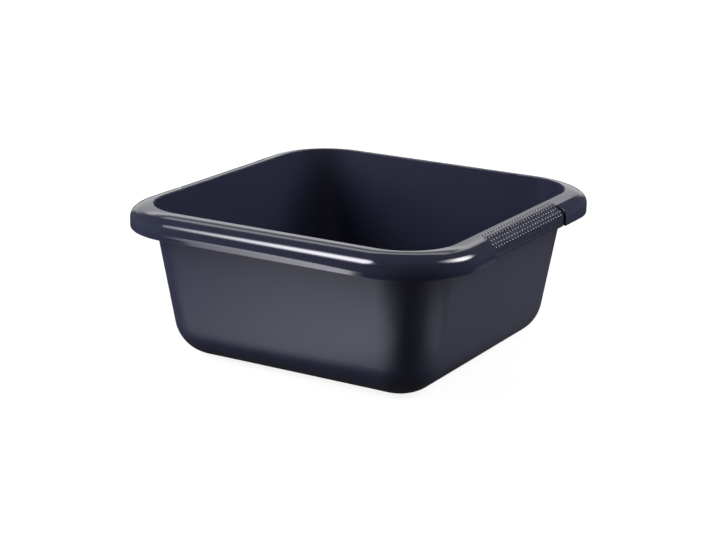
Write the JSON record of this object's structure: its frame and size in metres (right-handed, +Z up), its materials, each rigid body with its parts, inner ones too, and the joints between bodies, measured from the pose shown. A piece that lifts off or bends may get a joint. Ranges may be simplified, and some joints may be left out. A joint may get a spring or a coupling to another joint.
{
  "type": "washing up bowl",
  "caption": "Square dark plastic washing up bowl with drafted walls, a large bottom radius, a rolled rim with a skirt and studded grip pads on opposite sides.",
  "frame": {"origin": "middle of the square base, at the level the bowl stands on", "axes": "+Z up, +X towards one grip pad, -Y towards the front wall of the picture's left half"},
  "size_m": [0.32, 0.32, 0.1322],
  "materials": {
    "bowl_plastic": "moulded polypropylene, satin on the walls and glossy on the rim",
    "grip_plastic": "moulded thermoplastic with polished studs"
  },
  "bodies": {
    "root": {"bowl": "bowl_plastic", "grip_right": "grip_plastic", "grip_left": "grip_plastic"}
  },
  "joints": []
}
